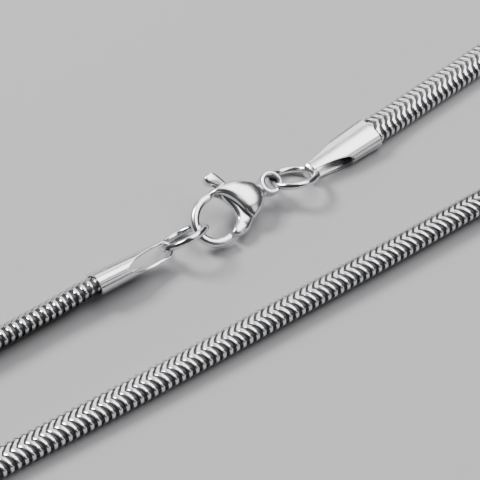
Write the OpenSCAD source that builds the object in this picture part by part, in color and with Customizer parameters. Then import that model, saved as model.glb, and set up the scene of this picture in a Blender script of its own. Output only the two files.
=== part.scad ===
// Flattened snake chain necklace, laid on a surface as one closed loop.
// Units are millimetres. X runs along the loop, Y across it, Z up.
// The origin is the middle of the loop, on the surface it lies on.

/* [Chain] */
// Width of the chain across its wide face
chain_w = 3.3; // [3:0.1:4]
// Thickness of the chain between its two wide faces
chain_t = 1.95; // [1.7:0.05:2.3]
// Depth that each slimmed chain end reaches into its end cap
chain_seat = 3.4; // [2:0.1:3.8]
// Gap between a slimmed chain end and the cap's inner wall
chain_play = 0.05; // [0.03:0.01:0.1]
// Gap between a cap's rim and the first full-width link
rim_gap = 0.12; // [0.05:0.01:0.3]

/* [End caps] */
// Length of an end cap from its rim to its rounded tip
cap_len = 9.1; // [8.5:0.1:10]
// How much wider and thicker a cap's rim is than the chain
cap_over = 0.35; // [0.2:0.05:0.45]
// Thickness of the folded sheet
cap_wall = 0.25; // [0.2:0.01:0.3]
// Length of the seam, from the rim to the almond opening
seam_len = 3.9; // [3.8:0.1:4.6]
// Gap between the two edges that meet at the seam
seam_gap = 0.08; // [0.04:0.01:0.15]
// Width of the strip where it runs round the tip as a bail
strip_w = 0.95; // [0.8:0.05:1.2]

/* [Jump rings] */
// Outer diameter of a jump ring
ring_d = 5.7; // [5.5:0.05:5.9]
// Diameter of a jump ring's wire
wire_d = 0.75; // [0.6:0.05:0.8]
// Gap between a jump ring and the bail or eye that it hangs in
ring_play = 0.17; // [0.12:0.01:0.2]
// Gap between a jump ring and the inside of the hook
hook_play = 0.25; // [0.2:0.01:0.35]

/* [Clasp body] */
// Half the length of the hook's loop, to the middle of its metal
hook_long = 2.69; // [2.5:0.01:2.9]
// Half the width of the hook's loop, to the middle of its metal
hook_short = 2.31; // [2.15:0.01:2.45]
// Width of the hook's metal, seen from above
hook_band = 0.76; // [0.65:0.01:0.85]
// Height of the hook's metal
hook_h = 0.98; // [0.85:0.01:1.1]
// Height of the domed body at its thickest
body_h = 2.6; // [2.3:0.05:2.9]
// Distance from the hook's centre to the eye's centre
eye_reach = 7.5; // [7.4:0.05:7.7]
// Outer radius of the eye
eye_r = 1.18; // [1.15:0.01:1.3]
// Radius of the hole in the eye
eye_hole_r = 0.74; // [0.72:0.01:0.78]
// Height of the eye's metal
eye_h = 0.9; // [0.7:0.05:1]

/* [Clasp lever] */
// Height of the lever inside the body
lever_h = 0.9; // [0.7:0.05:1]
// Gap above and below the lever in its slot
slot_play = 0.1; // [0.06:0.01:0.15]
// Distance that the thumb piece stands out from the pivot
thumb_reach = 5.3; // [5:0.1:5.8]
// Width of the thumb piece
thumb_w = 1.4; // [1.2:0.05:1.6]
// Diameter of the rivet that the lever turns on
rivet_d = 0.8; // [0.7:0.05:0.9]
// Gap between the rivet and the lever's bore, on each side
rivet_play = 0.03; // [0.02:0.01:0.05]
// Angle that the lever turns inwards to open the hook
lever_swing = 20; // [15:1:22]

/* [Hidden] */
steel = [0.80, 0.80, 0.81];
bright = [0.88, 0.88, 0.89];
sides = 12;
squareness = 0.833;
route_steps = 2;

// Sizes that follow from the ones above
cap_w = chain_w + cap_over;
cap_t = chain_t + cap_over;
neck_w = cap_w - 2 * cap_wall - 2 * chain_play;
neck_t = cap_t - 2 * cap_wall - 2 * chain_play;
ring_r = (ring_d - wire_d) / 2;

// The clasp's hook has its centre here, the clasp points this far from the X axis,
// and it lies on the two rings with its gate side lower than its thumb side
clasp_at = [-1.33, 6.15, 2.1];
clasp_turn = 4;
clasp_roll = 28;
clasp_x = [cos(clasp_turn), sin(clasp_turn), 0];
clasp_y = [-sin(clasp_turn) * cos(clasp_roll), cos(clasp_turn) * cos(clasp_roll), sin(clasp_roll)];
// The hook's loop is an oval, its long axis turned this far from the clasp's length
hook_skew = 27;
hook_from = 30;
hook_to = 238;
// Lean of the eye's hole about the clasp's length, from the clasp's own upright
eye_lean = 10;
// Pivot of the lever, from the hook's centre
pivot = [3.4, -0.75];

// Each jump ring has a heading and a rise along its long axis, and a lean about that axis
eye_ring_heading = -2.7;
eye_ring_rise = -10;
eye_ring_lean = -25;
hook_ring_rise = 3;
hook_ring_lean = -41;
hook_ring_lift = 2.02;

// Each cap is set by its heading from tip to rim, its rise and its roll about that heading
eye_cap_heading = 3.8;
eye_cap_roll = 2;
hook_cap_heading = 176.2;
hook_cap_rise = -1.8;
hook_cap_roll = 41;

// Route of the chain from the eye-side cap round to the hook-side cap:
// place along X, place along Y, and tilt of the upper face to the right of the way it runs
ROUTE = [
    [25.8, 7.7, 5], [31, 8.2, 4], [36.3, 8.7, 3], [47, 9.8, 2], [62, 11.3, 3],
    [78, 12.8, 5], [92, 13.8, 7], [103.5, 14, 9], [113.4, 9.9, 12], [117.5, 0, 15],
    [113.4, -9.9, 18], [103.5, -14, 20], [92, -13.4, 22], [77, -12, 22], [61, -10.4, 22],
    [45, -8.8, 22], [31, -7.8, 22], [22.3, -7.45, 21], [12, -7.25, 19], [1.5, -6.95, 17],
    [-11.7, -6.55, 14], [-21.9, -6.15, 11], [-35, -5.5, 9], [-48, -5.4, 4], [-63, -6.5, -3],
    [-78, -8.3, -11], [-93, -10.1, -19], [-106.5, -10.7, -27], [-114.3, -7.5, -32],
    [-117.5, 0.3, -36], [-114.3, 8.1, -40], [-106.5, 11.3, -43], [-93, 11, -45],
    [-78, 9.9, -47], [-63, 8.6, -49], [-48, 7.4, -48], [-36, 6.9, -46], [-27, 6.85, -44],
    [-21.6, 6.85, -42]
];

// Point of a flattened oval at angle a, with its wide axis first
function oval(a, w, t) = [
    w / 2 * sign(cos(a)) * pow(abs(cos(a)), squareness),
    t / 2 * sign(sin(a)) * pow(abs(sin(a)), squareness)
];

// Height of an oval's centre when it rests on the surface, tilted by roll
function rest_height(w, t, roll) = -min([
    for (k = [0:sides * 4 - 1])
        let (p = oval(360 * k / (sides * 4), w, t)) p[1] * cos(roll) - p[0] * sin(roll)
]);

// Unit vector with this heading and rise
function aim(heading, rise) = [
    cos(heading) * cos(rise), sin(heading) * cos(rise), sin(rise)
];

// Jump rings: the ends of the long axis sit in the eye or hook and in the bail
eye_ring_axis = aim(eye_ring_heading, eye_ring_rise);
eye_ring_near = clasp_at + (eye_reach + eye_hole_r - wire_d / 2 - 1.3 * ring_play) * clasp_x
    - 0.1 * clasp_y;
eye_ring_at = eye_ring_near + ring_r * eye_ring_axis;
eye_ring_far = eye_ring_at + ring_r * eye_ring_axis;
hook_inside = hook_long - (hook_long - hook_short) * 0.25 - hook_band / 2;
hook_ring_at = [
    clasp_at[0] - hook_inside + wire_d / 2 + hook_play - ring_r, clasp_at[1] + 0.15, hook_ring_lift
];
hook_ring_far = hook_ring_at - ring_r * aim(0, hook_ring_rise);

// Caps: the tip stands a wire, a gap and a wall beyond the ring's centre line
tip_step = wire_d / 2 + ring_play + cap_wall;
eye_cap_tip = [
    eye_ring_far[0] - tip_step, eye_ring_far[1] + 0.05, rest_height(cap_w, cap_t, eye_cap_roll)
];
hook_cap_rim_z = rest_height(cap_w, cap_t, hook_cap_roll);
hook_cap_tip = [
    hook_ring_far[0] + tip_step, hook_ring_far[1] - 0.2,
    hook_cap_rim_z - cap_len * sin(hook_cap_rise)
];

// Place, wide axis and upper axis of a cap's own frame at distance s from its tip
function cap_point(tip, heading, rise, s) = tip + s * aim(heading, rise);

// Smooth curve through four neighbouring rows of the route
function blend(a, b, c, d, u) = 0.5 * (
    2 * b + (c - a) * u + (2 * a - 5 * b + 4 * c - d) * u * u
    + (3 * b - a - 3 * c + d) * u * u * u
);

// Rows of the chain's centre line: x, y, z, roll, width, thickness
rim_row_eye = cap_point(eye_cap_tip, eye_cap_heading, 0, cap_len + rim_gap);
rim_row_hook = cap_point(hook_cap_tip, hook_cap_heading, hook_cap_rise, cap_len + rim_gap);
knots = concat(
    [[rim_row_eye[0], rim_row_eye[1], eye_cap_roll]], ROUTE,
    [[rim_row_hook[0], rim_row_hook[1], -hook_cap_roll]]
);
last = len(knots) - 1;
lead_in = knots[0] - (knots[1] - knots[0]);
lead_out = knots[last] + (knots[last] - knots[last - 1]);
function knot(k) = k < 0 ? lead_in : (k > last ? lead_out : knots[k]);
flat_rows = [
    for (k = [0:last - 1], j = [0:route_steps - 1])
        blend(knot(k - 1), knot(k), knot(k + 1), knot(k + 2), j / route_steps),
    knots[last]
];
rows_end = len(flat_rows) - 1;
// The first and last rows hang at their cap's height, the others lie on the surface
function row_z(k) = k == 0 ? eye_cap_tip[2]
    : k == rows_end ? rim_row_hook[2]
    : rest_height(chain_w, chain_t, flat_rows[k][2]);
outside_rows = [
    for (k = [0:rows_end])
        [flat_rows[k][0], flat_rows[k][1], row_z(k), flat_rows[k][2], chain_w, chain_t]
];
function inside_row(tip, heading, rise, s, roll) =
    let (p = cap_point(tip, heading, rise, s)) [p[0], p[1], p[2], roll, neck_w, neck_t];
chain_rows = concat(
    [
        inside_row(eye_cap_tip, eye_cap_heading, 0, cap_len - chain_seat, eye_cap_roll),
        inside_row(eye_cap_tip, eye_cap_heading, 0, cap_len + rim_gap / 2, eye_cap_roll)
    ],
    outside_rows,
    [
        inside_row(hook_cap_tip, hook_cap_heading, hook_cap_rise, cap_len + rim_gap / 2,
            -hook_cap_roll),
        inside_row(hook_cap_tip, hook_cap_heading, hook_cap_rise, cap_len - chain_seat,
            -hook_cap_roll)
    ]
);

function unit(v) = v / norm(v);
function place(row) = [row[0], row[1], row[2]];

// One oval ring of points round row k of a swept tube
function tube_ring(rows, k) =
    let (
        end = len(rows) - 1,
        run = unit(place(rows[min(k + 1, end)]) - place(rows[max(k - 1, 0)])),
        right = unit(cross(run, [0, 0, 1])),
        up = cross(right, run),
        roll = rows[k][3],
        wide = right * cos(roll) - up * sin(roll),
        top = up * cos(roll) + right * sin(roll)
    )
    [
        for (j = [0:sides - 1])
            let (p = oval(360 * j / sides, rows[k][4], rows[k][5]))
                place(rows[k]) + wide * p[0] + top * p[1]
    ];

// Faces that close an end whose points start at this one: one oval, or steps along a thin sheet
function end_faces(from, n, sheet) = sheet
    ? [for (j = [0:n / 2 - 2]) [from + j, from + j + 1, from + n - 2 - j, from + n - 1 - j]]
    : [[for (j = [0:n - 1]) from + j]];
function turned_over(faces) = [for (f = faces) [for (k = [len(f) - 1:-1:0]) f[k]]];

// Closed solid through rings of n points each
module loft(rings, n, sheet = false) {
    count = len(rings);
    points = [for (r = rings, p = r) p];
    skin = [
        for (k = [0:count - 2], j = [0:n - 1])
            let (a = k * n + j, b = k * n + (j + 1) % n)
            [a, b, b + n, a + n]
    ];
    ends = concat(
        turned_over(end_faces(0, n, sheet)), end_faces((count - 1) * n, n, sheet)
    );
    polyhedron(points, concat(ends, skin), convexity = 8);
}

// Flat snake chain as one swept tube, slimmed where it enters the caps
module snake_chain() {
    color(steel)
    loft([for (k = [0:len(chain_rows) - 1]) tube_ring(chain_rows, k)], sides);
}

// Half-width of the strip, as an angle from the middle of its face, at distance s from the tip
open_len = cap_len - seam_len;
seam_spread = 90 - asin(pow(seam_gap / cap_t, 1 / squareness));
function strip_share(s) = strip_w / cap_w
    + (1 - strip_w / cap_w) * max(s, 0) / open_len;
function spread(s) = s >= open_len ? seam_spread
    : min(seam_spread, asin(pow(strip_share(s), 1 / squareness)));

// Stations along the strip: distance from the tip, and angle round the rounded tip
bend_r = cap_t / 2;
flank_s = [
    cap_len, open_len + seam_len / 2, open_len, 0.96 * open_len, 0.9 * open_len,
    0.82 * open_len, 0.7 * open_len, 0.56 * open_len, 0.42 * open_len, 0.31 * open_len
];
stations = concat(
    [for (s = flank_s) [s, 0]],
    [for (g = [0:22.5:180]) [bend_r * (1 - sin(g)), g]],
    [for (k = [len(flank_s) - 1:-1:0]) [flank_s[k], 180]]
);
across = 6;

// One point of the strip, on its outer face or its inner face
function strip_point(station, share, inset) =
    let (
        s = station[0],
        g = station[1],
        w = cap_w - 2 * inset,
        r = bend_r - inset,
        a = spread(s) * share,
        side = w / 2 * sign(sin(a)) * pow(abs(sin(a)), squareness),
        drop = r * (1 - pow(cos(a), squareness)),
        along = g > 0 && g < 180 ? bend_r - (r - drop) * sin(g) : s
    )
    [along, side, (r - drop) * (g > 0 && g < 180 ? cos(g) : (g == 0 ? 1 : -1))];

// End cap: a sheet strip folded in a U, its two half shells closed round the chain
module end_cap() {
    color(bright)
    loft([
        for (st = stations) concat(
            [for (j = [across:-1:-across]) strip_point(st, j / across, 0)],
            [for (j = [-across:across]) strip_point(st, j / across, cap_wall)]
        )
    ], 2 * (2 * across + 1), sheet = true);
}

module end_cap_eye_side() {
    translate(eye_cap_tip)
    rotate([0, 0, eye_cap_heading])
    rotate([eye_cap_roll, 0, 0])
    end_cap();
}

module end_cap_hook_side() {
    translate(hook_cap_tip)
    rotate([0, -hook_cap_rise, hook_cap_heading])
    rotate([hook_cap_roll, 0, 0])
    end_cap();
}

// Round wire ring, lying along its own X axis
module jump_ring() {
    color(bright)
    rotate_extrude($fn = 96)
    translate([ring_r, 0])
    circle(d = wire_d, $fn = 32);
}

module jump_ring_eye_side() {
    translate(eye_ring_at)
    rotate([0, -eye_ring_rise, eye_ring_heading])
    rotate([eye_ring_lean, 0, 0])
    jump_ring();
}

module jump_ring_hook_side() {
    translate(hook_ring_at)
    rotate([0, -hook_ring_rise, 0])
    rotate([hook_ring_lean, 0, 0])
    jump_ring();
}

// The clasp's own frame: its hook's centre, its length along X
module in_clasp() {
    translate(clasp_at)
    rotate([0, 0, clasp_turn])
    rotate([clasp_roll, 0, 0])
    children();
}

// Half profile of a domed disc of radius r and half height h, from its foot to its top
function dome(r, h) = [
    for (a = [-90:15:90])
        [
            r * pow(abs(cos(a)), 0.72),
            h * sign(sin(a)) * pow(abs(sin(a)), 0.72)
        ]
];

module pebble(x, y, r, h) {
    translate([x, y, 0])
    rotate_extrude($fn = 32)
    polygon(dome(r, h));
}

// Rounded bar section of the eye
module bar_section(width, height) {
    square([width, height - width], center = true);
    translate([0, (height - width) / 2])
    circle(d = width, $fn = 32);
    translate([0, -(height - width) / 2])
    circle(d = width, $fn = 32);
}

// One oval section of the hook at angle t round its loop, shrunk to this share at its tip
function hook_ring(t, share) =
    let (
        c = cos(hook_skew),
        s = sin(hook_skew),
        mid = [
            c * hook_long * cos(t) - s * hook_short * sin(t),
            s * hook_long * cos(t) + c * hook_short * sin(t), 0
        ],
        out = unit([
            c * hook_short * cos(t) - s * hook_long * sin(t),
            s * hook_short * cos(t) + c * hook_long * sin(t), 0
        ])
    )
    [
        for (j = [0:15])
            let (p = oval(22.5 * j, hook_band, hook_h))
                mid + out * p[0] * share + [0, 0, p[1] * share]
    ];

// Curved hook, its tip rounded off
module hook() {
    loft([
        for (k = [0:26]) hook_ring(hook_from + (hook_to - hook_from) * k / 26, 1),
        for (past = [2.5, 5, 7, 8, 8.5])
            hook_ring(hook_to + past, sqrt(1 - pow(past / 8.8, 2)))
    ], 16);
}

// Room that the lever needs in the body, from shut to fully open
module lever_room() {
    for (turn = [0, lever_swing / 2, lever_swing])
        translate([pivot[0], pivot[1], 0])
        rotate([0, 0, -turn])
        translate([-pivot[0], -pivot[1], -lever_h / 2 - slot_play])
        linear_extrude(lever_h + 2 * slot_play)
        lever_plan(slot_play);
}

// Inside of the hook's loop, as it is cut from the front of the domed body
module mouth_plan() {
    polygon([
        [1.5, 2.2], [1.95, 1.6], [2.25, 0.95], [2.42, 0.3], [2.5, -0.4], [2.62, -1.0],
        [2.85, -1.6], [3.0, -2.6], [0, -3], [-2, 0], [-0.5, 1.9], [0.8, 2.2]
    ]);
}

// Domed body, hook and eye, cast in one piece
module clasp_body() {
    color(steel)
    in_clasp()
    difference() {
        union() {
            difference() {
                hull() {
                    pebble(3.3, 0.25, 2.22, body_h / 2);
                    pebble(4.8, -0.05, 1.3, body_h / 2 * 0.85);
                    pebble(1.35, 2.3, 0.5, hook_h * 0.6);
                    pebble(2.9, -1.3, 0.55, body_h / 2 * 0.75);
                }
                translate([0, 0, -body_h])
                linear_extrude(2 * body_h)
                mouth_plan();
            }
            hook();
            translate([5, 0, 0])
            rotate([0, 90, 0])
            cylinder(r = 0.58, h = eye_reach - eye_hole_r - 5.15, $fn = 48);
            translate([eye_reach, 0, 0])
            rotate([eye_lean, 0, 0])
            rotate_extrude($fn = 64)
            translate([(eye_r + eye_hole_r) / 2, 0])
            bar_section(eye_r - eye_hole_r, eye_h);
        }
        lever_room();
        translate([pivot[0], pivot[1], -body_h / 2 + 0.25])
        cylinder(d = rivet_d, h = body_h - 0.5, $fn = 48);
    }
}

// Outline of the lever from above, grown by edge
module lever_plan(edge) {
    offset(delta = edge)
    polygon([
        [0.38, -2.0], [1.0, -1.68], [1.6, -1.42], [1.95, -1.1], [2.08, -0.6], [2.1, 0.1],
        [2.02, 0.9], [1.85, 1.6], [1.7, 2.3], [1.65, 2.95], [3.1, 2.85], [3.3, 2.3],
        [3.6, 1.5], [3.9, 0.5], [4.1, -0.3], [4.1, -1.0], [3.8, -1.55], [3.3, -2.0],
        [2.7, -2.36], [1.9, -2.64], [1.15, -2.74], [0.8, -2.6], [0.52, -2.35]
    ]);
}

// Sprung lever: a gate at one end and a thumb piece at the other
module clasp_lever() {
    color(bright)
    in_clasp()
    difference() {
        union() {
            translate([0, 0, -lever_h / 2])
            linear_extrude(lever_h)
            lever_plan(0);
            hull() {
                translate([1.95, pivot[1] + thumb_reach - thumb_w / 2, 0])
                scale([1, 1, 0.85])
                sphere(d = thumb_w, $fn = 32);
                translate([2.4, 3.15, 0])
                cylinder(d = thumb_w * 0.9, h = lever_h, center = true, $fn = 32);
            }
        }
        translate([pivot[0], pivot[1], -lever_h])
        cylinder(d = rivet_d + 2 * rivet_play, h = lever_h * 2, $fn = 48);
    }
}

// Plain rivet through the body and the lever
module lever_rivet() {
    color(steel)
    in_clasp()
    translate([pivot[0], pivot[1], -body_h / 2 + 0.25])
    cylinder(d = rivet_d, h = body_h - 0.5, $fn = 48);
}

snake_chain();
end_cap_eye_side();
end_cap_hook_side();
jump_ring_eye_side();
jump_ring_hook_side();
clasp_body();
clasp_lever();
lever_rivet();
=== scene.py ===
"""Snake chain necklace with a lobster clasp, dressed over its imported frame.

Sizes are in millimetres, and each piece becomes metres where it is placed. Angles are in degrees
unless math.radians has turned them. The frame is the part's own: X along the loop, Y across it,
Z up.
"""

import math

import bmesh
import bpy
import numpy as np
from mathutils import Matrix, Vector


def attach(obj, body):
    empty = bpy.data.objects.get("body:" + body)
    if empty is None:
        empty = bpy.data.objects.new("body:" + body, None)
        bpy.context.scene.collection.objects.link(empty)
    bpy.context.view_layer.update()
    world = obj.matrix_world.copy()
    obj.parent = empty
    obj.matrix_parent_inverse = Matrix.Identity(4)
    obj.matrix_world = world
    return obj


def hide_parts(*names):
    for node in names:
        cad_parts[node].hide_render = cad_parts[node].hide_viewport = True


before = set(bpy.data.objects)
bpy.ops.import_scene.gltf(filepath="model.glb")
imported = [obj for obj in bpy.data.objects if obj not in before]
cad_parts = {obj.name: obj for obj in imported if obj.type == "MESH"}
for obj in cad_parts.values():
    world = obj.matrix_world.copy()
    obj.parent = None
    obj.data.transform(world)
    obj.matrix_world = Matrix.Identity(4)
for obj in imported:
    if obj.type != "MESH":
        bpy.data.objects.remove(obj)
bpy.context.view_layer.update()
MM = 0.001

# Clasp body
# The real one is cast stainless steel, tumbled and polished like a mirror: a domed shell
# whose hollow front is the mouth, with the hook and the eye cast on.
# It is fixed to nothing: it lies on the two jump rings, rolled about its own length.
CLASP_AT = Vector((-1.33, 6.15, 2.1))
CLASP_TURN = math.radians(4)
CLASP_ROLL = math.radians(28)
HOOK_LONG, HOOK_SHORT, HOOK_SKEW = 2.69, 2.31, math.radians(27)
# the hook bar's width in the solid, how much wider it is here, and its half heights
HOOK_BAND, HOOK_GROWN = 0.76, 0.1
HOOK_MOUTH_H, HOOK_RIDGE_H = 0.44, 0.5
# where the hook begins and ends and where the jaws end, in degrees about the hook's centre
HOOK_ROOT, HOOK_TIP, JAW_END = 75.0, 272.5, -29.0
# degrees from one section to the next in the hook and in the dome, and how far past the root the
# dome's sections begin
HOOK_STEP, JAW_STEP, ROOT_INSET = 3.0, 2.0, 0.01
# degrees past an end, and the share that the section has shrunk to there, which rounds the end off
TIP_ROUNDING = [(3.2, 0.3), (2.8, 0.6), (2.0, 0.82), (1.0, 0.95)]
JAW_ROUNDING = [(0, 1.0), (1.2, 0.9), (2.0, 0.7), (2.4, 0.4)]
# where the ridge lies across the hook's bar and how rounded the bar is, and how much both change
# into the dome, over this many degrees
RIDGE_PLACE, RIDGE_SHIFT = 0.42, 0.1
BODY_ROUND, DOME_BOXIER, DOME_RUN = 0.9, 0.16, 40
# width of the lip that rounds the mouth's edge, and the share of the way to the ridge it may take
LIP, LIP_SHARE = 0.12, 0.3
# where the lip's middle lies, out from the mouth's wall and down from the mouth's height, and how
# far down that wall the lip ends, as shares of its width
LIP_OUT, LIP_DOWN, LIP_END = 0.3, 0.35, 1.1
# half height of the lever's slot, the share of the mouth's half height it may take, and its floor's
SLOT_HALF, SLOT_SHARE, SLOT_FLOOR = 0.55, 0.62, 0.4
RIDGE_STEPS, MOUTH_STEPS = 12, 5
# the neck between the dome and the eye: place along the clasp, and half width
NECK_ROWS = [(5.0, 1.0), (5.6, 0.9), (6.0, 0.8), (6.3, 0.74), (6.6, 0.7)]
# the neck's height as a share of its width, and the length over which it bends aside to the eye
NECK_FLATNESS, NECK_BEND, NECK_STEPS = 0.8, 2.4, 24
EYE_REACH, EYE_R, EYE_HOLE_R, EYE_HEIGHT, EYE_LEAN = 7.5, 1.24, 0.72, 1.55, math.radians(2)
EYE_OFFSET = Vector((-0.12, 0.17, 0))
# how much thicker the eye's wall is towards the dome
EYE_THICKER = 0.16
EYE_OUTER_ROUND, EYE_INNER_ROUND, EYE_CREST_ROUND = 0.55, 0.8, 0.6
EYE_STEPS, EYE_BAR_STEPS = 64, 20
# angle about the hook's centre, mouth radius, outer radius, height at the mouth, height at the ridge,
# depth of the lever's slot
BODY_ROWS = [
    (75, 2.05, 2.92, 0.44, 0.50, 0.00),
    (66, 2.28, 3.12, 0.50, 0.66, 0.10),
    (58, 2.56, 3.30, 0.66, 0.86, 0.35),
    (48, 2.60, 3.68, 0.86, 1.05, 0.70),
    (38, 2.57, 4.18, 1.00, 1.19, 1.20),
    (29, 2.55, 4.72, 1.08, 1.27, 1.70),
    (20, 2.55, 5.26, 1.12, 1.30, 2.00),
    (11, 2.58, 5.84, 1.14, 1.30, 2.10),
    (3, 2.65, 6.02, 1.13, 1.30, 2.05),
    (-6, 2.75, 5.88, 1.10, 1.28, 1.95),
    (-14, 2.90, 5.40, 1.04, 1.23, 1.80),
    (-20, 3.12, 4.92, 0.96, 1.13, 1.45),
    (-25, 3.36, 4.42, 0.86, 1.00, 0.90),
    (-29, 3.60, 4.12, 0.72, 0.80, 0.42),
]
# opening in the body's back, from above, that the thumb piece swings in
BACK_SLOT = [(1.42, 3.5), (1.6, 2.2), (2.0, 1.2), (3.2, 1.0), (4.5, 1.5), (4.6, 2.4), (4.5, 3.5)]


def clasp_place():
    """Matrix from the clasp's own frame, in millimetres, to the part's frame in metres."""
    turned = Matrix.Rotation(CLASP_TURN, 4, "Z") @ Matrix.Rotation(CLASP_ROLL, 4, "X")
    return Matrix.Scale(MM, 4) @ Matrix.Translation(CLASP_AT) @ turned


def between_rows(rows, x):
    """Smooth values between the rows of a table, whose first column runs one way."""
    table = np.array(sorted(rows), float)
    xs, ys = table[:, 0], table[:, 1:]
    slope = np.gradient(ys, xs, axis=0)
    k = int(np.clip(np.searchsorted(xs, x) - 1, 0, len(xs) - 2))
    step = xs[k + 1] - xs[k]
    u = (x - xs[k]) / step
    return (
        ys[k] * (1 + 2 * u) * (1 - u) ** 2
        + ys[k + 1] * u * u * (3 - 2 * u)
        + slope[k] * step * u * (1 - u) ** 2
        + slope[k + 1] * step * u * u * (u - 1)
    )


def signed_power(value, power):
    """Power that keeps the sign, which turns a circle's sine and cosine into a boxier outline's."""
    return math.copysign(abs(value) ** power, value)


def angles_round(count):
    """Even angles once round a circle."""
    return np.arange(0, math.tau, math.tau / count)


def body_section(angle, shrink=1.0):
    """Closed section of the clasp through its hook's centre: a hook bar, or two jaws and their back."""
    into_dome = min(1, max(0, (HOOK_ROOT - angle) / DOME_RUN))
    if angle >= HOOK_ROOT:
        skewed = math.radians(angle) - HOOK_SKEW
        middle = HOOK_LONG * HOOK_SHORT / math.hypot(
            HOOK_SHORT * math.cos(skewed), HOOK_LONG * math.sin(skewed)
        )
        half = (HOOK_BAND + HOOK_GROWN) / 2
        near, far, mouth_h, ridge_h, slot = middle - half, middle + half, HOOK_MOUTH_H, HOOK_RIDGE_H, 0.0
    else:
        near, far, mouth_h, ridge_h, slot = between_rows(BODY_ROWS, angle)
    ridge = near + (far - near) * (RIDGE_PLACE - RIDGE_SHIFT * into_dome)
    boxy = BODY_ROUND - DOME_BOXIER * into_dome
    upper = []
    for k in range(RIDGE_STEPS + 1):
        a = math.pi / 2 * k / RIDGE_STEPS
        upper.append((ridge + (far - ridge) * math.cos(a) ** boxy, ridge_h * math.sin(a) ** boxy))
    lip = min(LIP, (ridge - near) * LIP_SHARE)
    for k in range(1, MOUTH_STEPS + 1):
        share = k / MOUTH_STEPS
        upper.append((ridge - (ridge - near - lip) * share, ridge_h - (ridge_h - mouth_h) * share**2))
    upper.append((near + lip * LIP_OUT, mouth_h - lip * LIP_DOWN))
    upper.append((near, mouth_h - lip * LIP_END))
    slot_h = min(SLOT_HALF, mouth_h * SLOT_SHARE)
    upper.append((near, slot_h))
    upper.append((near + slot, slot_h))
    upper.append((near + slot, slot_h * SLOT_FLOOR))
    lower = [(r, -z) for r, z in reversed(upper)]
    ring = upper + lower[:-1]
    centre = (near + far) / 2
    a = math.radians(angle)
    points = []
    for r, z in ring:
        r = centre + (r - centre) * shrink
        points.append(Vector((r * math.cos(a), r * math.sin(a), z * shrink)))
    return points


def join_rings(bm, rings, closed=False):
    """Joins rings of points with faces, the last ring to the first too if closed."""
    verts = [[bm.verts.new(p) for p in ring] for ring in rings]
    count = len(rings[0])
    pairs = list(zip(verts, verts[1:])) + ([(verts[-1], verts[0])] if closed else [])
    for first, second in pairs:
        for j in range(count):
            k = (j + 1) % count
            bm.faces.new((first[j], first[k], second[k], second[j]))
    return verts


def loft(bm, rings, closed=False):
    """Makes a skin over rings of points, capped at both ends unless it closes on itself."""
    verts = join_rings(bm, rings, closed)
    if not closed:
        bm.faces.new(verts[0][::-1])
        bm.faces.new(verts[-1])


def cut_through(bm, outline, half_height):
    """Takes a flat-sided slot of this outline and half height out of a closed skin."""
    solid = bpy.data.meshes.new("uncut")
    bm.to_mesh(solid)
    bm.free()
    cutter = bmesh.new()
    loft(cutter, [[Vector((x, y, z)) for x, y in outline] for z in (-half_height, half_height)])
    bmesh.ops.recalc_face_normals(cutter, faces=cutter.faces)
    room = bpy.data.meshes.new("room")
    cutter.to_mesh(room)
    cutter.free()
    pair = [bpy.data.objects.new(mesh.name, mesh) for mesh in (solid, room)]
    for item in pair:
        bpy.context.scene.collection.objects.link(item)
    slot = pair[0].modifiers.new("slot", "BOOLEAN")
    slot.object = pair[1]
    slot.solver = "EXACT"
    slot.use_self = True
    made = pair[0].evaluated_get(bpy.context.evaluated_depsgraph_get())
    result = bmesh.new()
    result.from_mesh(made.to_mesh())
    for item in pair:
        bpy.data.objects.remove(item)
    return result


def make_piece(name, bm, place, material, smooth_under=35):
    """A finished piece: outward faces, smooth shading under this angle, its place in its mesh."""
    bmesh.ops.recalc_face_normals(bm, faces=bm.faces)
    for face in bm.faces:
        face.smooth = True
    for edge in bm.edges:
        if len(edge.link_faces) == 2 and edge.calc_face_angle(0) > math.radians(smooth_under):
            edge.smooth = False
    mesh = bpy.data.meshes.new(name)
    bm.to_mesh(mesh)
    bm.free()
    mesh.transform(place)
    mesh.materials.append(material)
    piece = bpy.data.objects.new(name, mesh)
    bpy.context.scene.collection.objects.link(piece)
    return piece


# size of the faint clouds in the polish and of the wheel's swirls, in turns to the metre
CLOUD_SCALE, SWIRL_SCALE = 600, 4500
SWIRL_DEPTH = 0.00001
CLOUD_SHADE, GLOSSIEST, DULLEST = 0.93, 0.75, 1.35


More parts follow.
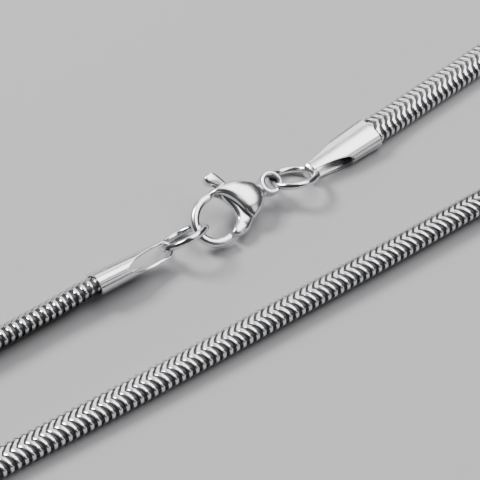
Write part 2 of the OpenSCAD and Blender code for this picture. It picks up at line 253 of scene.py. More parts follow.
def polished_steel(name, colour, roughness, scratch):
    """Mirror-polished stainless steel with faint swirls left by the polishing wheel."""
    material = bpy.data.materials.new(name)
    material.use_nodes = True
    nodes, links = material.node_tree.nodes, material.node_tree.links
    shader = nodes["Principled BSDF"]
    shader.inputs["Metallic"].default_value = 1.0
    where = nodes.new("ShaderNodeTexCoord")
    clouds = nodes.new("ShaderNodeTexNoise")
    clouds.inputs["Scale"].default_value = CLOUD_SCALE
    clouds.inputs["Detail"].default_value = 3
    links.new(where.outputs["Object"], clouds.inputs["Vector"])
    tint = nodes.new("ShaderNodeMix")
    tint.data_type = "RGBA"
    tint.inputs["A"].default_value = (*[c * CLOUD_SHADE for c in colour], 1)
    tint.inputs["B"].default_value = (*colour, 1)
    links.new(clouds.outputs["Fac"], tint.inputs["Factor"])
    links.new(tint.outputs["Result"], shader.inputs["Base Color"])
    rough = nodes.new("ShaderNodeMapRange")
    rough.inputs["To Min"].default_value = roughness * GLOSSIEST
    rough.inputs["To Max"].default_value = roughness * DULLEST
    links.new(clouds.outputs["Fac"], rough.inputs["Value"])
    links.new(rough.outputs["Result"], shader.inputs["Roughness"])
    swirls = nodes.new("ShaderNodeTexNoise")
    swirls.inputs["Scale"].default_value = SWIRL_SCALE
    swirls.inputs["Detail"].default_value = 2
    links.new(where.outputs["Object"], swirls.inputs["Vector"])
    relief = nodes.new("ShaderNodeBump")
    relief.inputs["Strength"].default_value = scratch
    relief.inputs["Distance"].default_value = SWIRL_DEPTH
    links.new(swirls.outputs["Fac"], relief.inputs["Height"])
    links.new(relief.outputs["Normal"], shader.inputs["Normal"])
    return material


clasp_steel = polished_steel("clasp_steel", (0.76, 0.76, 0.77), roughness=0.22, scratch=0.15)

bm = bmesh.new()
rings = [body_section(HOOK_TIP + past, shrink) for past, shrink in TIP_ROUNDING]
rings += [body_section(a) for a in np.arange(HOOK_TIP, HOOK_ROOT, -HOOK_STEP)]
rings += [body_section(a) for a in np.arange(HOOK_ROOT - ROOT_INSET, JAW_END, -JAW_STEP)]
rings += [body_section(JAW_END - past, shrink) for past, shrink in JAW_ROUNDING]
loft(bm, rings)
bmesh.ops.recalc_face_normals(bm, faces=bm.faces)
bm = cut_through(bm, BACK_SLOT, SLOT_HALF)
neck = []
for x, radius in NECK_ROWS:
    side = EYE_OFFSET.y * (x - NECK_ROWS[0][0]) / NECK_BEND
    neck.append(
        [
            Vector((x, side + radius * math.cos(a), radius * NECK_FLATNESS * math.sin(a)))
            for a in angles_round(NECK_STEPS)
        ]
    )
loft(bm, neck)
lean = Matrix.Rotation(EYE_LEAN, 4, "X")
eye = []
for a in angles_round(EYE_STEPS):
    ring = []
    bar = (EYE_R - EYE_HOLE_R - EYE_THICKER * math.cos(a)) / 2
    for b in angles_round(EYE_BAR_STEPS):
        boxy = EYE_OUTER_ROUND if math.cos(b) > 0 else EYE_INNER_ROUND
        r = EYE_HOLE_R + bar + bar * signed_power(math.cos(b), boxy)
        z = EYE_HEIGHT / 2 * signed_power(math.sin(b), EYE_CREST_ROUND)
        out = Vector((r * math.cos(a), r * math.sin(a), z))
        ring.append(Vector((EYE_REACH, 0, 0)) + EYE_OFFSET + lean @ out)
    eye.append(ring)
loft(bm, eye, closed=True)
clasp_body = make_piece("clasp_body_cast", bm, clasp_place(), clasp_steel)
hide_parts("clasp_body")
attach(clasp_body, "necklace")

# Clasp lever
# The real one is a small cast steel lever, its gate closing the hook and its thumb piece
# standing out of the body's back. It turns on a rivet between the jaws, and a spring shuts it.
LEVER_STEPS, LEVER_BAR_STEPS = 5, 28
# how rounded the lever's bar is, and how much boxier it gets in the thumb piece, past this Y
LEVER_ROUND, THUMB_BOXIER, THUMB_FROM = 0.75, 0.2, 1.5
# x and y of the inner edge, x and y of the outer edge, and half height, from gate tip to thumb end
LEVER_ROWS = [
    (0.42, -2.10, 0.47, -2.25, 0.18), (0.46, -1.98, 0.62, -2.49, 0.42), (0.66, -1.82, 0.88, -2.68, 0.54),
    (1.00, -1.62, 1.32, -2.80, 0.60), (1.55, -1.33, 2.20, -2.68, 0.60), (1.92, -1.02, 2.80, -2.38, 0.50),
    (2.06, -0.60, 3.65, -1.68, 0.44), (2.10, 0.10, 4.10, -0.40, 0.44), (2.02, 0.90, 3.85, 0.70, 0.44),
    (1.95, 1.60, 3.55, 1.62, 0.44), (2.08, 2.20, 3.32, 2.26, 0.43), (2.10, 2.60, 3.16, 2.70, 0.46),
    (1.92, 2.92, 3.06, 3.08, 0.51), (1.60, 3.20, 2.96, 3.42, 0.56), (1.34, 3.48, 2.86, 3.72, 0.60),
    (1.22, 3.76, 2.74, 3.98, 0.62), (1.24, 4.02, 2.60, 4.20, 0.61), (1.38, 4.26, 2.40, 4.36, 0.53),
    (1.62, 4.42, 2.16, 4.45, 0.34),
]


def curve_through(points, steps):
    """Smooth curve through points, with this many steps from one to the next."""
    pts = [np.array(p, float) for p in points]
    pts = [2 * pts[0] - pts[1], *pts, 2 * pts[-1] - pts[-2]]
    out = []
    for a, b, c, d in zip(pts, pts[1:], pts[2:], pts[3:]):
        for j in range(steps):
            u = j / steps
            square = (2 * a - 5 * b + 4 * c - d) * u**2
            cube = (3 * b - a - 3 * c + d) * u**3
            out.append(0.5 * (2 * b + (c - a) * u + square + cube))
    out.append(pts[-2])
    return np.array(out)


bm = bmesh.new()
rings = []
for in_x, in_y, out_x, out_y, half_height in curve_through(LEVER_ROWS, LEVER_STEPS):
    middle = Vector(((in_x + out_x) / 2, (in_y + out_y) / 2, 0))
    reach = Vector((out_x, out_y, 0)) - middle
    boxy = LEVER_ROUND - THUMB_BOXIER * min(1, max(0, middle.y - THUMB_FROM))
    ring = []
    for a in angles_round(LEVER_BAR_STEPS):
        up = half_height * signed_power(math.sin(a), boxy)
        ring.append(middle + reach * signed_power(math.cos(a), boxy) + Vector((0, 0, up)))
    rings.append(ring)
loft(bm, rings)
clasp_lever = make_piece("clasp_lever_cast", bm, clasp_place(), clasp_steel)
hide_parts("clasp_lever")
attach(clasp_lever, "lever")

# Lever rivet
# The real one is a plain steel pin, pressed into both jaws of the body and ground flush.
# The lever turns on it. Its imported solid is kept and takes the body's own steel.
rivet_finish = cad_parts["lever_rivet"].data.materials
rivet_finish.clear()
rivet_finish.append(clasp_steel)

# Jump rings
# Each is round stainless wire bent to a ring, its two ends pressed together in a butt joint.
# One hangs in the clasp's eye, the other in the hook, and each holds an end cap's bail.
RING_R, WIRE_R = 2.475, 0.375
RING_STEPS, WIRE_STEPS = 97, 20
RING_PLAY, EYE_PLAY, HOOK_PLAY = 0.17, 0.221, 0.25
EYE_RING_HEADING, EYE_RING_RISE, EYE_RING_LEAN = -2.7, -10, -25
HOOK_RING_RISE, HOOK_RING_LEAN, HOOK_RING_LIFT = 3, -41, 2.02
EYE_RING_ASIDE, HOOK_RING_ASIDE = 0.1, 0.15
JOINT_GAP, EYE_JOINT_AT, HOOK_JOINT_AT = 0.03, 110, 70
# radius of the eye's hole in the solid, which the eye side's ring hangs against
EYE_SEAT_R = 0.74
# how far from its long radius to its short one the hook's skewed oval has come at the hook's far side
HOOK_FAR_SHARE = 0.25


def aim(heading, rise):
    """Unit vector that runs this way round Z and rises this much, in degrees."""
    h, r = math.radians(heading), math.radians(rise)
    return Vector((math.cos(h) * math.cos(r), math.sin(h) * math.cos(r), math.sin(r)))


def place_at(point, heading, rise, roll):
    """Matrix from a piece's own frame, in millimetres, to the part's frame in metres."""
    return (
        Matrix.Scale(MM, 4)
        @ Matrix.Translation(point)
        @ Matrix.Rotation(math.radians(heading), 4, "Z")
        @ Matrix.Rotation(math.radians(-rise), 4, "Y")
        @ Matrix.Rotation(math.radians(roll), 4, "X")
    )


def jump_ring(name, centre, heading, rise, lean, joint_at):
    """Ring of round wire, open by the joint's hairline gap at this angle."""
    bm = bmesh.new()
    half_gap = math.degrees(JOINT_GAP / 2 / RING_R)
    rings = []
    for a in np.linspace(joint_at + half_gap, joint_at + 360 - half_gap, RING_STEPS):
        out = Vector((math.cos(math.radians(a)), math.sin(math.radians(a)), 0))
        rings.append(
            [
                out * (RING_R + WIRE_R * math.cos(b)) + Vector((0, 0, WIRE_R * math.sin(b)))
                for b in angles_round(WIRE_STEPS)
            ]
        )
    loft(bm, rings)
    return make_piece(name, bm, place_at(centre, heading, rise, lean), wire_steel)


wire_steel = polished_steel("wire_steel", (0.73, 0.73, 0.74), roughness=0.16, scratch=0.2)
clasp_x = Vector((math.cos(CLASP_TURN), math.sin(CLASP_TURN), 0))
clasp_y = Matrix.Rotation(CLASP_TURN, 3, "Z") @ Matrix.Rotation(CLASP_ROLL, 3, "X") @ Vector((0, 1, 0))
eye_ring_axis = aim(EYE_RING_HEADING, EYE_RING_RISE)
eye_ring_reach = EYE_REACH + EYE_SEAT_R - WIRE_R - EYE_PLAY
eye_ring_near = CLASP_AT + clasp_x * eye_ring_reach - clasp_y * EYE_RING_ASIDE
eye_ring_at = eye_ring_near + eye_ring_axis * RING_R
hook_inside = HOOK_LONG - (HOOK_LONG - HOOK_SHORT) * HOOK_FAR_SHARE - HOOK_BAND / 2
hook_ring_x = CLASP_AT.x - hook_inside + WIRE_R + HOOK_PLAY - RING_R
hook_ring_at = Vector((hook_ring_x, CLASP_AT.y + HOOK_RING_ASIDE, HOOK_RING_LIFT))
eye_ring = jump_ring(
    "jump_ring_wire_eye_side", eye_ring_at, EYE_RING_HEADING, EYE_RING_RISE, EYE_RING_LEAN, EYE_JOINT_AT
)
hook_ring = jump_ring(
    "jump_ring_wire_hook_side", hook_ring_at, 0, HOOK_RING_RISE, HOOK_RING_LEAN, HOOK_JOINT_AT
)
for ring, node in ((eye_ring, "jump_ring_eye_side"), (hook_ring, "jump_ring_hook_side")):
    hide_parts(node)
    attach(ring, "necklace")

# End caps
# Each is a strip of polished steel sheet folded in a U. The fold is the bail that holds the
# jump ring, and the two wide ends close round the chain, where they meet in a seam.
CAP_LEN, CAP_W, CAP_T, CAP_WALL = 9.1, 3.65, 2.3, 0.25
HOOK_CAP_LEN = 9.0
# the cap's width and thickness at the fold and at the rim, as shares of CAP_W and CAP_T,
# the length that stays as slim as the fold, and how the swell runs from there
FOLD_SWELL, RIM_SWELL, FOLD_RUN, SWELL_CURVE = 0.86, 1.06, 1.2, 0.9
SEAM_LEN, SEAM_GAP, STRIP_W, SPREAD_CURVE = 3.65, 0.07, 1.35, 1.9
# how far the sheet's cut edge bulges, as an angle, and how far its outer corner is drawn in
EDGE_ROUND, CORNER_INSET = 0.02, 0.03
EYE_CAP_HEADING, EYE_CAP_RISE, EYE_CAP_ROLL, EYE_CAP_ASIDE = 3.8, 1.6, 2, 0.05
HOOK_CAP_HEADING, HOOK_CAP_RISE, HOOK_CAP_ROLL, HOOK_CAP_ASIDE = 176.2, -1.2, 44, -0.2
SQUARENESS, OVAL_STEPS = 0.833, 96
# sections along the closed sleeve, the open strip and the fold, and steps across the sheet
SLEEVE_STEPS, STRIP_STEPS, FOLD_STEPS, ACROSS_STEPS = 9, 22, 30, 22
# the fold's sections run round it from this far past its start to this far before its end
FOLD_MARGIN = 4
# the share of the open length that the strip's sections cover, and how they crowd to the seam
STRIP_SHARE, STRIP_CROWDING = 0.76, 1.3


def oval(a, w, t):
    """Point at this angle on the outline of a flattened oval of this width and thickness."""
    return (w / 2 * signed_power(math.cos(a), SQUARENESS), t / 2 * signed_power(math.sin(a), SQUARENESS))


def rest_height(w, t, roll):
    """Height of an oval's centre when it lies on the surface, tilted by roll in degrees."""
    c, s = math.cos(math.radians(roll)), math.sin(math.radians(roll))
    outline = [oval(math.tau * k / OVAL_STEPS, w, t) for k in range(OVAL_STEPS)]
    return -min(y * c - x * s for x, y in outline)


def sheet_spread(s, rounded=0):
    """Half-width of the strip as an angle about the cap's axis, at distance s from the tip.

    Where the strip is open, its bulging cut edge reaches further round by the angle rounded.
    """
    open_len = CAP_LEN - SEAM_LEN
    shut = math.pi / 2 - math.asin((SEAM_GAP / CAP_T) ** (1 / SQUARENESS))
    if s >= open_len:
        return shut
    share = STRIP_W / CAP_W + (1 - STRIP_W / CAP_W) * (max(s, 0) / open_len) ** SPREAD_CURVE
    return min(shut, math.asin(share ** (1 / SQUARENESS)) + rounded)


def swell(s):
    """The cap's width and thickness at distance s from the tip, as shares of CAP_W and CAP_T."""
    share = max(0, s - FOLD_RUN) / (CAP_LEN - FOLD_RUN)
    return FOLD_SWELL + (RIM_SWELL - FOLD_SWELL) * share**SWELL_CURVE


def sheet_point(s, bend, across, inset, rounded=0):
    """Point of the folded sheet: s from the tip, bend round the fold, across from -1 to 1."""
    w, r = CAP_W * swell(s) - 2 * inset, CAP_T / 2 * swell(s) - inset
    a = sheet_spread(s, rounded) * across
    side = w / 2 * signed_power(math.sin(a), SQUARENESS)
    drop = r * (1 - math.cos(a) ** SQUARENESS)
    if 0 < bend < 180:
        b = math.radians(bend)
        return Vector((CAP_T / 2 * FOLD_SWELL - (r - drop) * math.sin(b), side, (r - drop) * math.cos(b)))
    return Vector((s, side, (r - drop) * (1 if bend == 0 else -1)))


def loft_sheet(bm, rings):
    """Makes a skin over sections of a folded sheet, its ends closed with faces across its wall."""
    verts = join_rings(bm, rings)
    half = len(rings[0]) // 2 - 1
    for end in (verts[0], verts[-1]):
        for j in range(half - 1):
            bm.faces.new((end[j], end[j + 1], end[2 * half - 1 - j], end[2 * half - j]))
        bm.faces.new((end[half - 1], end[half], end[half + 1]))
        bm.faces.new((end[2 * half], end[2 * half + 1], end[0]))


def end_cap(name, tip, heading, rise, roll, length):
    """Cap of this length, from its rim along one side, round the fold and back along the other."""
    open_len = CAP_LEN - SEAM_LEN
    flank = list(np.linspace(length, open_len, SLEEVE_STEPS))
    for k in range(1, STRIP_STEPS + 1):
        flank.append(open_len * (1 - (k / STRIP_STEPS) ** STRIP_CROWDING * STRIP_SHARE))
    stations = [(s, 0) for s in flank]
    for bend in np.linspace(FOLD_MARGIN, 180 - FOLD_MARGIN, FOLD_STEPS):
        stations.append((CAP_T / 2 * (1 - math.sin(math.radians(bend))), bend))
    stations += [(s, 180) for s in reversed(flank)]
    rings = []
    for s, bend in stations:
        outer, inner = [], []
        for k in range(ACROSS_STEPS + 1):
            across = 1 - 2 * k / ACROSS_STEPS
            corner = CORNER_INSET if k in (0, ACROSS_STEPS) else 0
            outer.append(sheet_point(s, bend, across, corner))
            inner.append(sheet_point(s, bend, -across, CAP_WALL))
        edges = [sheet_point(s, bend, side, CAP_WALL / 2, EDGE_ROUND) for side in (-1, 1)]
        rings.append(outer + edges[:1] + inner + edges[1:])
    bm = bmesh.new()
    loft_sheet(bm, rings)
    return make_piece(name, bm, place_at(tip, heading, rise, roll), cap_steel, smooth_under=55)


def cap_tip(ring_far, step, aside, rise, roll):
    """Where a cap's fold lies: round its jump ring, at the height that rests its rim on the surface."""
    rim_z = rest_height(CAP_W * RIM_SWELL, CAP_T * RIM_SWELL, roll)
    return Vector((ring_far.x + step, ring_far.y + aside, rim_z - CAP_LEN * math.sin(math.radians(rise))))


cap_steel = polished_steel("cap_steel", (0.75, 0.75, 0.76), roughness=0.2, scratch=0.25)
tip_step = WIRE_R + RING_PLAY + CAP_WALL
eye_ring_far = eye_ring_at + eye_ring_axis * RING_R
hook_ring_far = hook_ring_at - aim(0, HOOK_RING_RISE) * RING_R
eye_cap_tip = cap_tip(eye_ring_far, -tip_step, EYE_CAP_ASIDE, EYE_CAP_RISE, EYE_CAP_ROLL)
hook_cap_tip = cap_tip(hook_ring_far, tip_step, HOOK_CAP_ASIDE, HOOK_CAP_RISE, HOOK_CAP_ROLL)
eye_cap = end_cap(
    "end_cap_sheet_eye_side", eye_cap_tip, EYE_CAP_HEADING, EYE_CAP_RISE, EYE_CAP_ROLL, CAP_LEN
)
hook_cap = end_cap(
    "end_cap_sheet_hook_side", hook_cap_tip, HOOK_CAP_HEADING, HOOK_CAP_RISE, HOOK_CAP_ROLL, HOOK_CAP_LEN
)
for cap, node in ((eye_cap, "end_cap_eye_side"), (hook_cap, "end_cap_hook_side")):
    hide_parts(node)
    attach(cap, "necklace")

# Snake chain
# The real one is hundreds of wavy bands of polished steel, each bent round to a flattened oval
# and nested in the next round a hollow core, then rolled flat. Here the core is near black, painted shade
# for the dark inside the chain.
# Its two ends are pressed into the end caps.
CHAIN_W, CHAIN_T, LINK_PITCH = 3.3, 1.95, 0.79
# how deep the chain sits in a cap, the gap from a cap's rim to the route's first free point,
# and how many points the route has inside a cap
CHAIN_SEAT, RIM_GAP, SEAT_ROWS = 2.6, 0.12, 5
# the chain's size inside the caps as a share of its full one, how far outside them it begins to
# swell, and the length over which it swells back
SLIM, SLIM_FROM, SLIM_RUN = 0.9, 0.2, 0.9
# the length over which the chain comes down from a cap to the surface
HANG_RUN = 5
ROUTE_STEPS = 14
BAND_DEPTH, BAND_CROWN, CROWN_SHARE = 0.24, 0.08, 0.8
# place across a band's width, as a share of its half width, and depth below the chain's outline
BAND_SECTION = [
    (-1, BAND_DEPTH), (-CROWN_SHARE, BAND_CROWN), (0, 0), (CROWN_SHARE, BAND_CROWN), (1, BAND_DEPTH),
]
# the points of that section where the crown ends, which are left as creases
CROWN_EDGES = (1, 3)
# half width of a band at the chain's sides, and how much wider it is on the faces, in pitches
BAND_HALF, BAND_WIDENS = 0.29, 0.1
# how fast the painted shade on the chain's underside deepens, and where on a dip that painted shade
# begins
UNDERSIDE_PAINTED_SHADE, DARK_FROM = 1.2, 0.25
# near-black colour of the painted shade in the bands' dips and on the chain's underside
PAINTED_SHADE_COLOUR = (0.04, 0.04, 0.045, 1)
# depth of the core's surface below the chain's outline, a little above the bands' edges
CORE_DEPTH, CORE_STEPS = 0.8 * BAND_DEPTH, 16
# place along X, place along Y, and tilt of the upper face to the right of the way it runs
ROUTE = [
    (25.8, 7.7, 5), (31, 8.2, 4), (36.3, 8.7, 3), (47, 9.8, 2), (62, 11.3, 3),
    (78, 12.8, 5), (92, 13.8, 7), (103.5, 14, 9), (113.4, 9.9, 12), (117.5, 0, 15),
    (113.4, -9.9, 18), (103.5, -14, 20), (92, -13.4, 22), (77, -12, 22), (61, -10.4, 22),
    (45, -8.8, 22), (31, -7.8, 22), (22.3, -7.45, 21), (12, -7.25, 19), (1.5, -6.95, 17),
    (-11.7, -6.55, 14), (-21.9, -6.15, 11), (-35, -5.5, 9), (-48, -5.4, 4), (-63, -6.5, -3),
    (-78, -8.3, -11), (-93, -10.1, -19), (-106.5, -10.7, -27), (-114.3, -7.5, -32),
    (-117.5, 0.3, -36), (-114.3, 8.1, -40), (-106.5, 11.3, -43), (-93, 11, -45),
    (-78, 9.9, -47), (-63, 8.6, -49), (-48, 7.4, -48), (-36, 6.9, -46), (-27, 6.85, -44),
    (-21.6, 6.85, -42),
]
# angle round the chain's section, and how far the band's middle leads there, in pitches
BAND_WAVE = [
    (0, -1.12), (16, -1.15), (34, -1.17), (58, -1.15), (70, -1.0), (83, -0.46), (96, 0), (107, -0.28),
    (126, -0.45), (150, -0.62), (168, -0.7), (192, -0.7), (210, -0.62), (234, -0.45), (253, -0.28),
    (264, 0), (277, -0.46), (290, -1.0), (302, -1.15), (326, -1.17), (344, -1.15),
]


def chain_route():
    """Rows of x, y, z, tilt and slimness from one cap's inside to the other's."""

    def cap_row(tip, heading, rise, s, roll):
        p = tip + aim(heading, rise) * s
        return (p.x, p.y, p.z, roll, SLIM)

    start = cap_row(eye_cap_tip, EYE_CAP_HEADING, EYE_CAP_RISE, CAP_LEN + RIM_GAP, EYE_CAP_ROLL)
    end = cap_row(hook_cap_tip, HOOK_CAP_HEADING, HOOK_CAP_RISE, HOOK_CAP_LEN + RIM_GAP, -HOOK_CAP_ROLL)
    points = [(start[0], start[1], start[3]), *ROUTE, (end[0], end[1], end[3])]
    flat = curve_through(points, ROUTE_STEPS)
    gone = np.concatenate([[0], np.cumsum(np.hypot(*np.diff(flat[:, :2], axis=0).T))])
    rows = []
    for (x, y, roll), run in zip(flat, gone):
        z = rest_height(CHAIN_W, CHAIN_T, roll)
        for rim, left in ((start, run), (end, gone[-1] - run)):
            hang = max(0, 1 - left / HANG_RUN)
            z += (rim[2] - z) * hang * hang * (3 - 2 * hang)
        wide = min(1, max(0, (min(run, gone[-1] - run) - SLIM_FROM) / SLIM_RUN))
        rows.append((x, y, z, roll, SLIM + (1 - SLIM) * wide))
    seat = CAP_LEN - CHAIN_SEAT
    for s in np.linspace(CAP_LEN, seat, SEAT_ROWS):
        rows.insert(0, cap_row(eye_cap_tip, EYE_CAP_HEADING, EYE_CAP_RISE, s, EYE_CAP_ROLL))
    for s in np.linspace(HOOK_CAP_LEN, seat, SEAT_ROWS):
        rows.append(cap_row(hook_cap_tip, HOOK_CAP_HEADING, HOOK_CAP_RISE, s, -HOOK_CAP_ROLL))
    return rows


def route_curve(rows):
    """Curve through the route's rows, whose tilt and radius turn and slim the bands."""
    data = bpy.data.curves.new("chain_route", "CURVE")
    data.dimensions = "3D"
    data.twist_mode = "Z_UP"
    spline = data.splines.new("POLY")
    spline.points.add(len(rows) - 1)
    for point, (x, y, z, roll, slim) in zip(spline.points, rows):
        point.co = (x * MM, y * MM, z * MM, 1)
        point.tilt = math.radians(roll)
        point.radius = slim
    route = bpy.data.objects.new("chain_route", data)
    bpy.context.scene.collection.objects.link(route)
    return route


def one_band():
    """One link: X across the chain, -Y to its upper face, Z the way it runs."""
    bm = bmesh.new()
    # the hollow layer holds the painted shade mask
    hollow = bm.verts.layers.float.new("hollow")
    rings = []
    for angle, lead in BAND_WAVE:
        turn = math.radians(angle)
        half = LINK_PITCH * (BAND_HALF + BAND_WIDENS * math.sin(turn) ** 2)
        ring = []
        for share, deep in BAND_SECTION:
            x, y = oval(turn, CHAIN_W - 2 * deep, CHAIN_T - 2 * deep)
            vert = bm.verts.new((x * MM, -y * MM, (lead * LINK_PITCH + share * half) * MM))
            # painted shade: full at a band's edges, where it dips under its neighbours, and growing on
            # the chain's downward side, where shade falls
            vert[hollow] = 1.0 if deep == BAND_DEPTH else max(0, -UNDERSIDE_PAINTED_SHADE * math.sin(turn))
            ring.append(vert)
        rings.append(ring)
    for ring, following in zip(rings, rings[1:] + rings[:1]):
        for j in range(len(BAND_SECTION) - 1):
            face = bm.faces.new((ring[j], ring[j + 1], following[j + 1], following[j]))
            face.smooth = True
        for j in CROWN_EDGES:
            bm.edges.get((ring[j], following[j])).smooth = False
    bmesh.ops.recalc_face_normals(bm, faces=bm.faces)
    mesh = bpy.data.meshes.new("chain_band")
    bm.to_mesh(mesh)
    bm.free()
    band = bpy.data.objects.new("chain_band", mesh)
    bpy.context.scene.collection.objects.link(band)
    return band


def band_steel():
    """Polished steel with painted shade: darker where a band dips under its neighbours and on the chain's
    underside.
    """
    material = polished_steel("band_steel", (0.76, 0.76, 0.76), roughness=0.2, scratch=0.2)
    nodes, links = material.node_tree.nodes, material.node_tree.links
    shader = nodes["Principled BSDF"]
    plain = shader.inputs["Base Color"].links[0].from_socket
    dip = nodes.new("ShaderNodeAttribute")
    dip.attribute_name = "hollow"
    dip_curve = nodes.new("ShaderNodeMapRange")
    dip_curve.inputs["From Min"].default_value = DARK_FROM
    links.new(dip.outputs["Fac"], dip_curve.inputs["Value"])
    # mixes the painted shade into the steel's colour
    painted_shade_mix = nodes.new("ShaderNodeMix")
    painted_shade_mix.data_type = "RGBA"
    painted_shade_mix.inputs["B"].default_value = PAINTED_SHADE_COLOUR
    links.new(dip_curve.outputs["Result"], painted_shade_mix.inputs["Factor"])
    links.new(plain, painted_shade_mix.inputs["A"])
    links.new(painted_shade_mix.outputs["Result"], shader.inputs["Base Color"])
    return material


def chain_tree():
    """Bands set along a route at an even pitch, round a core swept along it."""
    tree = bpy.data.node_groups.new("bands_round_a_core", "GeometryNodeTree")
    new_socket = tree.interface.new_socket
    new_socket("Geometry", in_out="OUTPUT", socket_type="NodeSocketGeometry")
    sockets = {
        name: new_socket(name, in_out="INPUT", socket_type=kind).identifier
        for name, kind in (
            ("Route", "NodeSocketObject"),
            ("Band", "NodeSocketObject"),
            ("Band count", "NodeSocketInt"),
            ("Core width", "NodeSocketFloat"),
            ("Core thickness", "NodeSocketFloat"),
            ("Band finish", "NodeSocketMaterial"),
            ("Core finish", "NodeSocketMaterial"),
        )
    }
    nodes, link = tree.nodes, tree.links.new
    given = nodes.new("NodeGroupInput").outputs
    route = nodes.new("GeometryNodeObjectInfo")
    link(given["Route"], route.inputs["Object"])
    band = nodes.new("GeometryNodeObjectInfo")
    band.inputs["As Instance"].default_value = True
    link(given["Band"], band.inputs["Object"])
    beads = nodes.new("GeometryNodeCurveToPoints")
    beads.mode = "COUNT"
    link(route.outputs["Geometry"], beads.inputs["Curve"])
    link(given["Band count"], beads.inputs["Count"])
    slim = nodes.new("GeometryNodeInputRadius")
    size = nodes.new("ShaderNodeCombineXYZ")
    link(slim.outputs["Radius"], size.inputs["X"])
    link(slim.outputs["Radius"], size.inputs["Y"])
    size.inputs["Z"].default_value = 1
    placed = nodes.new("GeometryNodeInstanceOnPoints")
    link(beads.outputs["Points"], placed.inputs["Points"])
    link(beads.outputs["Rotation"], placed.inputs["Rotation"])
    link(band.outputs["Geometry"], placed.inputs["Instance"])
    link(size.outputs["Vector"], placed.inputs["Scale"])
    bands = nodes.new("GeometryNodeRealizeInstances")
    link(placed.outputs["Instances"], bands.inputs["Geometry"])
    band_finish = nodes.new("GeometryNodeSetMaterial")
    link(bands.outputs["Geometry"], band_finish.inputs["Geometry"])
    link(given["Band finish"], band_finish.inputs["Material"])
    circle = nodes.new("GeometryNodeCurvePrimitiveCircle")
    circle.inputs["Resolution"].default_value = CORE_STEPS
    circle.inputs["Radius"].default_value = 0.5
    core_size = nodes.new("ShaderNodeCombineXYZ")
    link(given["Core width"], core_size.inputs["X"])
    link(given["Core thickness"], core_size.inputs["Y"])
    outline = nodes.new("GeometryNodeTransform")
    link(circle.outputs["Curve"], outline.inputs["Geometry"])
    link(core_size.outputs["Vector"], outline.inputs["Scale"])
    core = nodes.new("GeometryNodeCurveToMesh")
    core.inputs["Fill Caps"].default_value = True
    link(route.outputs["Geometry"], core.inputs["Curve"])
    link(outline.outputs["Geometry"], core.inputs["Profile Curve"])
    core_finish = nodes.new("GeometryNodeSetMaterial")
    link(core.outputs["Mesh"], core_finish.inputs["Geometry"])
    link(given["Core finish"], core_finish.inputs["Material"])
    both = nodes.new("GeometryNodeJoinGeometry")
    link(band_finish.outputs["Geometry"], both.inputs["Geometry"])
    link(core_finish.outputs["Geometry"], both.inputs["Geometry"])
    result = nodes.new("NodeGroupOutput")
    link(both.outputs["Geometry"], result.inputs["Geometry"])
    return tree, sockets


# painted shade: the core's near-black colour stands for the shade deep inside the chain, seen between the
# bands
core_steel = polished_steel("core_steel", (0.07, 0.07, 0.075), roughness=0.45, scratch=0.3)
rows = chain_route()
route = route_curve(rows)
band = one_band()
length = sum(math.dist(a[:3], b[:3]) for a, b in zip(rows, rows[1:]))
tree, sockets = chain_tree()
maker = bpy.data.objects.new("snake_chain_maker", bpy.data.meshes.new("snake_chain_maker"))
bpy.context.scene.collection.objects.link(maker)
modifier = maker.modifiers.new("bands", "NODES")
modifier.node_group = tree
for name, value in (
    ("Route", route),
    ("Band", band),
    ("Band count", round(length / LINK_PITCH) + 1),
    ("Core width", (CHAIN_W - 2 * CORE_DEPTH) * MM),
    ("Core thickness", (CHAIN_T - 2 * CORE_DEPTH) * MM),
    ("Band finish", band_steel()),
    ("Core finish", core_steel),
):
    modifier[sockets[name]] = value
made = maker.evaluated_get(bpy.context.evaluated_depsgraph_get())
chain = bpy.data.objects.new("snake_chain_bands", bpy.data.meshes.new_from_object(made))
bpy.context.scene.collection.objects.link(chain)
for helper in (maker, route, band):
    bpy.data.objects.remove(helper)
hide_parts("snake_chain")
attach(chain, "necklace")

# Surface, light and camera
# A plain pale board with a paper-like finish, which the necklace lies on.
# A key lamp and three softboxes light it, and the camera looks from the photograph's angle.
BOARD_REACH = 1.5
PAPER_COLOUR, PAPER_ROUGHNESS = (0.35, 0.35, 0.36, 1), 0.7
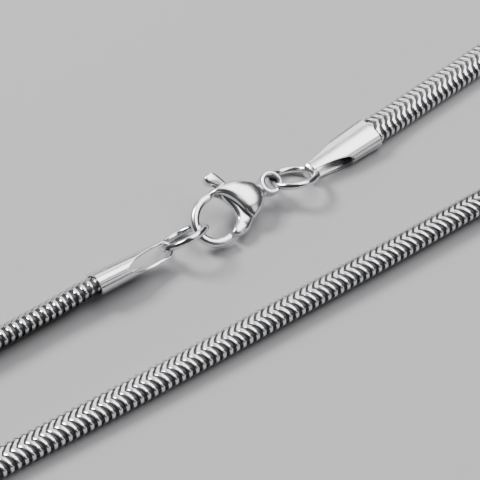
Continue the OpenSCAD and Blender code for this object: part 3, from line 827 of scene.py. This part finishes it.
# name, place and aim in metres, width, height, and power in watts
LAMPS = [
    ("key_light", (-0.2, 0.42, 0.5), (0, 0, 0), 0.22, 0.22, 6.5),
    ("overhead_softbox", (0.32, 0.0, 0.62), (0.32, 0.0, 0), 0.5, 0.72, 6.2),
    ("back_softbox", (0.33, 0.62, 0.40), (0, 0, 0), 0.6, 0.48, 2.2),
    ("front_softbox", (0.34, -0.6, 0.4), (0, 0, 0), 0.3, 0.4, 0.5),
]
ROOM_COLOUR, ROOM_GLOW = (0.5, 0.51, 0.53, 1), 0.12
CAMERA_AT = Vector((-88.35, -113.24, 163.04)) * MM
CAMERA_AIM = Vector((0, 4, 0)) * MM
LENS, SENSOR = 161.25, 36
CLIP_NEAR, CLIP_FAR = 0.01, 10

bm = bmesh.new()
bmesh.ops.create_grid(bm, x_segments=1, y_segments=1, size=BOARD_REACH)
board_mesh = bpy.data.meshes.new("board")
bm.to_mesh(board_mesh)
bm.free()
board = bpy.data.objects.new("board", board_mesh)
bpy.context.scene.collection.objects.link(board)
paper = bpy.data.materials.new("pale_paper")
paper.use_nodes = True
paper_shader = paper.node_tree.nodes["Principled BSDF"]
paper_shader.inputs["Base Color"].default_value = PAPER_COLOUR
paper_shader.inputs["Roughness"].default_value = PAPER_ROUGHNESS
board_mesh.materials.append(paper)


def soft_light(name, at, aim_at, width, height, power):
    """Rectangular lamp that faces the point aim_at."""
    data = bpy.data.lights.new(name, "AREA")
    data.shape = "RECTANGLE"
    data.size, data.size_y, data.energy = width, height, power
    lamp = bpy.data.objects.new(name, data)
    lamp.location = at
    lamp.rotation_euler = (Vector(aim_at) - Vector(at)).to_track_quat("-Z", "Y").to_euler()
    bpy.context.scene.collection.objects.link(lamp)


for lamp in LAMPS:
    soft_light(*lamp)
world = bpy.data.worlds.new("studio")
world.use_nodes = True
room = world.node_tree.nodes["Background"]
room.inputs["Color"].default_value = ROOM_COLOUR
room.inputs["Strength"].default_value = ROOM_GLOW
bpy.context.scene.world = world

camera_data = bpy.data.cameras.new("camera")
camera_data.lens, camera_data.sensor_width = LENS, SENSOR
camera_data.clip_start, camera_data.clip_end = CLIP_NEAR, CLIP_FAR
camera = bpy.data.objects.new("camera", camera_data)
camera.location = CAMERA_AT
camera.rotation_euler = (CAMERA_AIM - CAMERA_AT).to_track_quat("-Z", "Y").to_euler()
bpy.context.scene.collection.objects.link(camera)
bpy.context.scene.camera = camera
